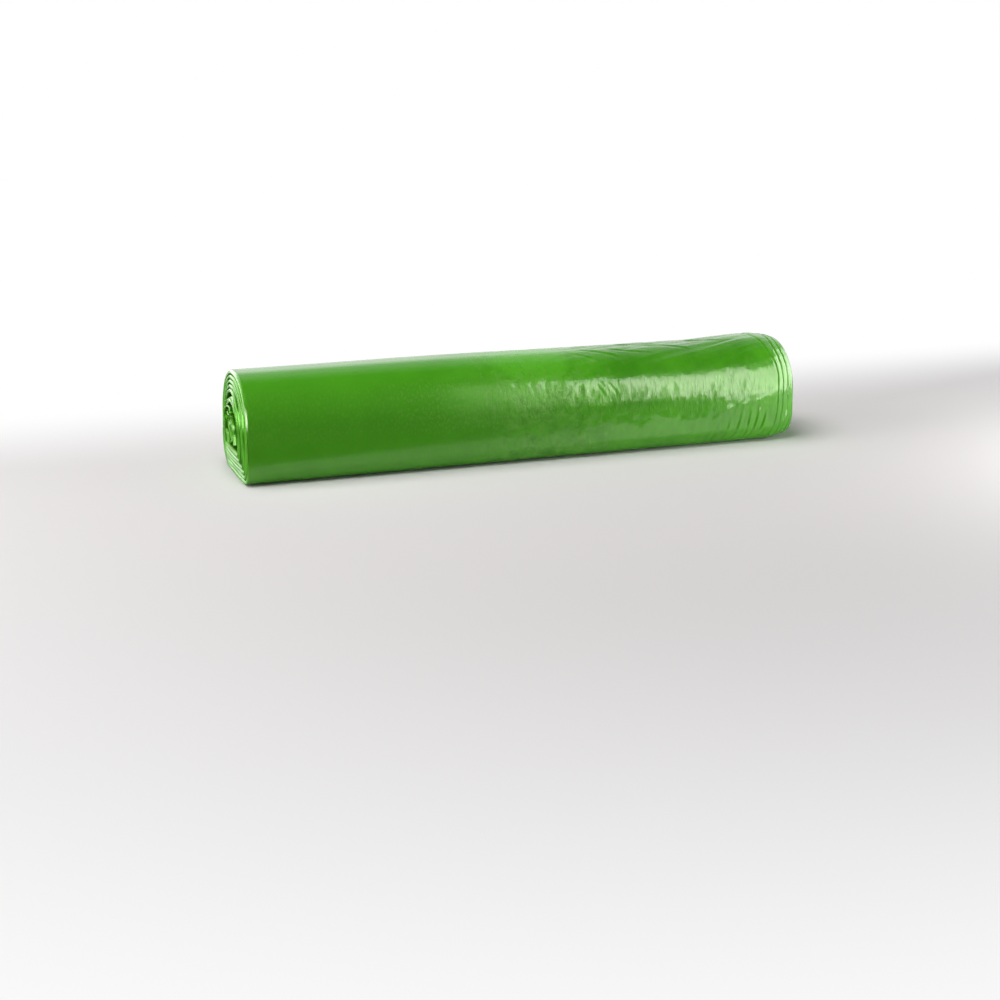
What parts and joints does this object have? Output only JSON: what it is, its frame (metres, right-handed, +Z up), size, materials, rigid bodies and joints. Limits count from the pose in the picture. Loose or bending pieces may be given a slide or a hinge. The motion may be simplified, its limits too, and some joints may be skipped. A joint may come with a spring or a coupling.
{
  "type": "bin bag roll",
  "caption": "Soft coreless roll of glossy green plastic bin bags, folded flat and wound up, lying on its flattened underside.",
  "frame": {"origin": "centre of the roll's bounding box, on the surface that it rests on", "axes": "+X along the roll towards its gathered end, -Y is the front, +Z up"},
  "size_m": [0.3552, 0.066, 0.062],
  "materials": {
    "green_film": "glossy polyethylene film, finely wrinkled"
  },
  "bodies": {
    "root": {"bag_roll": "green_film"}
  },
  "joints": []
}
